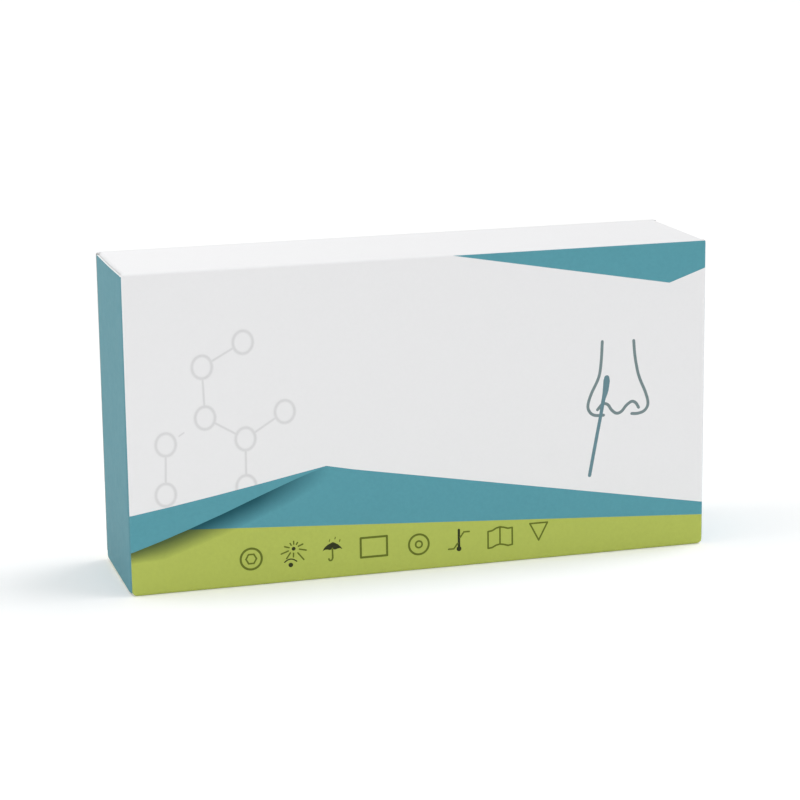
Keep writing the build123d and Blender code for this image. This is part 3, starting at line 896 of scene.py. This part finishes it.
def pouch_height(x, z, share):
    u, w = x - pcx, z - pcz
    edge = min(PW - abs(u), PH - abs(w))
    sealed = smooth((edge - 7.5) / 5.0)
    block = (max(abs(u + 9) - 33, 0) ** 2 + max(abs(w) - 10, 0) ** 2) ** 0.5
    sachet = (max(abs(u - 42) - 9, 0) ** 2 + max(abs(w + 3) - 16, 0) ** 2) ** 0.5
    top = max(3.3 * smooth(1 - block / 17.0), 1.9 * smooth(1 - sachet / 11.0), 0.7)
    ang = math.atan2(w, u + 9)
    fold = 0.34 * math.sin(ang * 19 + 2.2 * math.sin(0.11 * u)) * smooth(block / 9.0) * (1 - 0.4 * smooth(block / 26.0))
    crush = 0.16 * math.sin(0.47 * u + 0.9 * math.sin(0.23 * w + 1)) * math.sin(0.61 * w + 0.7 * math.sin(0.19 * u))
    ribs = 0.05 * math.sin(edge * 2 * math.pi / 1.1) * (1 - smooth((edge - 6.5) / 1.5)) * smooth(edge / 0.8)
    ripple = 0.10 * math.sin(0.35 * u + 1.1) * math.sin(0.41 * w) * (1 - sealed)
    return 0.10 + share * sealed * (top + fold + crush), ribs + ripple


def pouch_front(x, z):
    h, r = pouch_height(x, z, 1.0)
    return max(py0 + 0.02, pcy - h + r)


def pouch_back(x, z):
    h, r = pouch_height(x, z, 0.85)
    return min(py1 - 0.02, pcy + h + r)


xs = sorted(set([px0 + 0.05 + 1.15 * k for k in range(int((px1 - px0 - 0.1) / 1.15) + 1)] + [px1 - 0.05]))
zs = sorted(set([pz0 + 0.05 + 1.0 * k for k in range(int((pz1 - pz0 - 0.1) / 1.0) + 1)] + [pz1 - 0.05]))
pouch = lens_mesh("foil_pouch", xs, zs, pouch_front, pouch_back, ["foil_laminate"])
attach(pouch, "carton")
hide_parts("test_pouch")

# sealed swab pack: paper back, clear film drawn over stick and tip
(sx0, sy0, sz0), (sx1, sy1, sz1) = node_box("swab_pack")
scz = (sz0 + sz1) / 2
paper_y = sy0 + 0.12


def tip_radius(x):
    if x < -72 or x > 71:
        return 0.0
    if x < 52:
        return 1.2
    return 1.2 + 1.1 * smooth((x - 52) / 5) - 1.3 * smooth((x - 66) / 5)


def film_back(x, z):
    r = tip_radius(x) + 0.15
    reach = 2 * r
    d = abs(z - scz)
    end = smooth((x + 77) / 6) * smooth((76 - x) / 6)
    seal = 0.22 + 0.03 * math.sin((z - scz) * 2 * math.pi / 1.2) * (1 - end)
    dome = max(0.0, 1 - d / (reach + 3.4))
    return paper_y + seal + 0.12 + (2 * r + 0.1) * smooth(dome * 1.25) * end if end > 0 else paper_y + seal


xs = [sx0 + 0.05 + (sx1 - sx0 - 0.1) * k / 90 for k in range(91)]
zs = [sz0 + 0.05 + (sz1 - sz0 - 0.1) * k / 40 for k in range(41)]
film = lens_mesh("swab_pack_film", xs, zs, lambda x, z: film_back(x, z) - 0.06, lambda x, z: min(sy1 - 0.01, film_back(x, z)), ["clear_film"])
paper = lens_mesh("swab_pack_paper", xs[::3], zs[::4], lambda x, z: sy0 + 0.01, lambda x, z: paper_y + 0.02, ["pack_paper"])
paper_tab = 0
for o in (film, paper):
    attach(o, "carton")
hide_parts("swab_pack")


def lathe_x(name, profile, cy, cz, mats, index_of=None, n=20):
    """Turned about a line along X: profile is (x, radius)."""
    verts, faces, index = [], [], []
    for x, r in profile:
        verts += [(x, cy + r * math.cos(2 * math.pi * k / n), cz + r * math.sin(2 * math.pi * k / n)) for k in range(n)]
    for i in range(len(profile) - 1):
        for k in range(n):
            a, b = i * n + k, i * n + (k + 1) % n
            faces.append((a, b, b + n, a + n))
            index.append(index_of(profile[i][0]) if index_of else 0)
    faces.append(tuple(range(n - 1, -1, -1)))
    faces.append(tuple(range((len(profile) - 1) * n, len(profile) * n)))
    index += [0, index_of(profile[-1][0]) if index_of else 0]
    return plain_mesh(name, verts, faces, mats, index, 50)


swab_profile = [(-71.0, 0.5), (-70.8, 0.95), (-70.2, 1.1), (-20, 1.1), (-19, 0.85), (-18, 1.1), (40, 1.05), (52, 0.95), (53, 1.5), (54.5, 1.95), (58, 2.15), (64, 2.1), (67, 1.7), (68.6, 1.1), (69.2, 0.4)]
swab = lathe_x("swab", swab_profile, paper_y + 0.3 + 1.2, scz, ["swab_stick", "swab_flock"], lambda x: 1 if x >= 52 else 0)
for v in swab.data.vertices:
    if v.co.x > 0.052:
        # the thicker tip lies in the pack too, so it sits a little further from the paper
        v.co.y += 0.0009 * smooth((v.co.x / MM - 52) / 3)
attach(swab, "carton")

# folded leaflet: one strip of thin paper, folded to and fro
(lx0, ly0, lz0), (lx1, ly1, lz1) = node_box("leaflet")
LAYERS = 11
pitch = (ly1 - ly0 - 0.1) / LAYERS
thick = pitch * 0.62
mid_line = []
for k in range(LAYERS):
    y = ly0 + 0.05 + pitch * (k + 0.5)
    lo_, hi_ = lz0 + 0.12 + 0.05 * (k % 3), lz1 - 0.15 - 0.12 * ((k * 5) % 4)
    ends = (lo_, hi_) if k % 2 == 0 else (hi_, lo_)
    run = [ends[0] + (ends[1] - ends[0]) * t for t in (0.0, 0.01, 0.25, 0.5, 0.75, 0.99, 1.0)]
    for i, z in enumerate(run):
        mid_line.append((y + (0.10 * pitch * math.sin(1.3 * k + i) if 0 < i < 6 else 0.0), z))
    if k < LAYERS - 1:
        s = 1 if k % 2 == 0 else -1
        nxt = y + pitch
        top = ends[1]
        mid_line += [(y + pitch * 0.2, top + s * pitch * 0.36), (y + pitch * 0.5, top + s * pitch * 0.5), (y + pitch * 0.8, top + s * pitch * 0.36)]
section = []
L_, R_ = [], []
for i, p in enumerate(mid_line):
    a, b = np.array(mid_line[max(i - 1, 0)]), np.array(mid_line[min(i + 1, len(mid_line) - 1)])
    t = (b - a) / max(np.hypot(*(b - a)), 1e-9)
    nrm = np.array([-t[1], t[0]]) * thick / 2
    L_.append(np.array(p) + nrm)
    R_.append(np.array(p) - nrm)
xs = [lx0 + 0.05, lx0 + 40, lx0 + 74, lx0 + 110, lx1 - 0.05]
verts, faces = [], []
m = len(mid_line)
for x in xs:
    verts += [(x, max(ly0 + 0.01, min(ly1 - 0.01, p[0])), max(lz0 + 0.01, min(lz1 - 0.01, p[1]))) for p in L_ + R_]
for i in range(len(xs) - 1):
    o0, o1 = i * 2 * m, (i + 1) * 2 * m
    for k in range(m - 1):
        faces.append((o0 + k, o1 + k, o1 + k + 1, o0 + k + 1))
        faces.append((o0 + m + k, o0 + m + k + 1, o1 + m + k + 1, o1 + m + k))
    faces.append((o0, o0 + m, o1 + m, o1))
    faces.append((o0 + m - 1, o1 + m - 1, o1 + 2 * m - 1, o0 + 2 * m - 1))
for k in range(m - 1):
    faces.append((k, k + 1, m + k + 1, m + k))
    o1 = (len(xs) - 1) * 2 * m
    faces.append((o1 + k, o1 + m + k, o1 + m + k + 1, o1 + k + 1))
leaf = plain_mesh("leaflet_sheet", verts, faces, ["leaflet_paper"])
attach(leaf, "carton")
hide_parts("leaflet")

# ---- stage, light and camera ----------------------------------------------------------------------
n = Nodes("studio_white")
n.link(n.mix(n.ramp(n.noise(3, 2), 0.3, 0.7), (0.955, 0.955, 0.955), (0.965, 0.965, 0.965)), n.bsdf.inputs["Base Color"])
n.set(Roughness=0.95, Specular_IOR_Level=0.1, Emission_Color=(1, 1, 1, 1), Emission_Strength=0.125)
profile = [(0.0, 0.0), (0.5, 0.0), (1.2, 0.0), (2.4, 0.0), (3.2, 0.0)] + [(3.2 + 0.8 * math.sin(a), 0.8 - 0.8 * math.cos(a)) for a in np.linspace(0.15, 1.35, 8)] + [(4.2, 2.0)]
seg = 72
verts, faces = [(0.0, 0.0, 0.0)], []
for r, z in profile[1:]:
    verts += [(r * math.cos(2 * math.pi * k / seg), r * math.sin(2 * math.pi * k / seg), z) for k in range(seg)]
for k in range(seg):
    faces.append((0, 1 + k, 1 + (k + 1) % seg))
    for i in range(len(profile) - 2):
        a, b = 1 + i * seg + k, 1 + i * seg + (k + 1) % seg
        faces.append((a, a + seg, b + seg, b))
floor_mesh = bpy.data.meshes.new("studio_floor")
floor_mesh.from_pydata(verts, [], faces)
floor_mesh.materials.append(MAT["studio_white"])
floor_mesh.polygons.foreach_set("use_smooth", [True] * len(floor_mesh.polygons))
floor = bpy.data.objects.new("studio_floor", floor_mesh)
bpy.context.scene.collection.objects.link(floor)

world = bpy.data.worlds.new("studio")
world.use_nodes = True
world.node_tree.nodes["Background"].inputs["Color"].default_value = (1.0, 1.0, 1.0, 1.0)
world.node_tree.nodes["Background"].inputs["Strength"].default_value = 0.535
bpy.context.scene.world = world


# a weak lamp over the left half, so the top panel fades a little towards the right
lamp_data = bpy.data.lights.new("fill_light", "AREA")
lamp_data.shape = "DISK"
lamp_data.size = 0.25
lamp_data.energy = 0.42
lamp = bpy.data.objects.new("fill_light", lamp_data)
bpy.context.scene.collection.objects.link(lamp)
lamp.location = (-0.24, 0.03, 0.48)
lamp.rotation_mode = "QUATERNION"
lamp.rotation_quaternion = Vector((0.16, -0.03, -0.40)).to_track_quat("-Z", "Y")

# a broad, even light from high on the right, as from a large softbox
key_data = bpy.data.lights.new("key_light", "SUN")
key_data.energy = 1.2
key_data.angle = math.radians(48)
key = bpy.data.objects.new("key_light", key_data)
bpy.context.scene.collection.objects.link(key)
key.location = (0.6, -0.2, 1.2)
key.rotation_mode = "QUATERNION"
key.rotation_quaternion = (-Vector((0.56, 0.02, 0.82))).to_track_quat("-Z", "Y")

cam_data = bpy.data.cameras.new("camera")
cam = bpy.data.objects.new("camera", cam_data)
bpy.context.scene.collection.objects.link(cam)
cam_data.sensor_fit = "HORIZONTAL"
cam_data.sensor_width = 36.0
cam_data.lens = 117.79
cam_data.clip_start, cam_data.clip_end = 0.01, 50.0
yaw, pitch, roll = math.radians(-16.028), math.radians(-12.772), math.radians(-0.709)
fwd = Vector((-math.sin(yaw) * math.cos(pitch), math.cos(yaw) * math.cos(pitch), math.sin(pitch)))
rt = Vector((math.cos(yaw), math.sin(yaw), 0.0))
up = rt.cross(fwd)
r2 = math.cos(roll) * rt + math.sin(roll) * up
u2 = -math.sin(roll) * rt + math.cos(roll) * up
m = Matrix((r2, u2, -fwd)).transposed().to_4x4()
m.translation = Vector((-0.198843, -0.687911, 0.206343))
cam.matrix_world = m
bpy.context.scene.camera = cam
bpy.context.scene.view_settings.view_transform = "Standard"
bpy.context.scene.view_settings.look = "None"
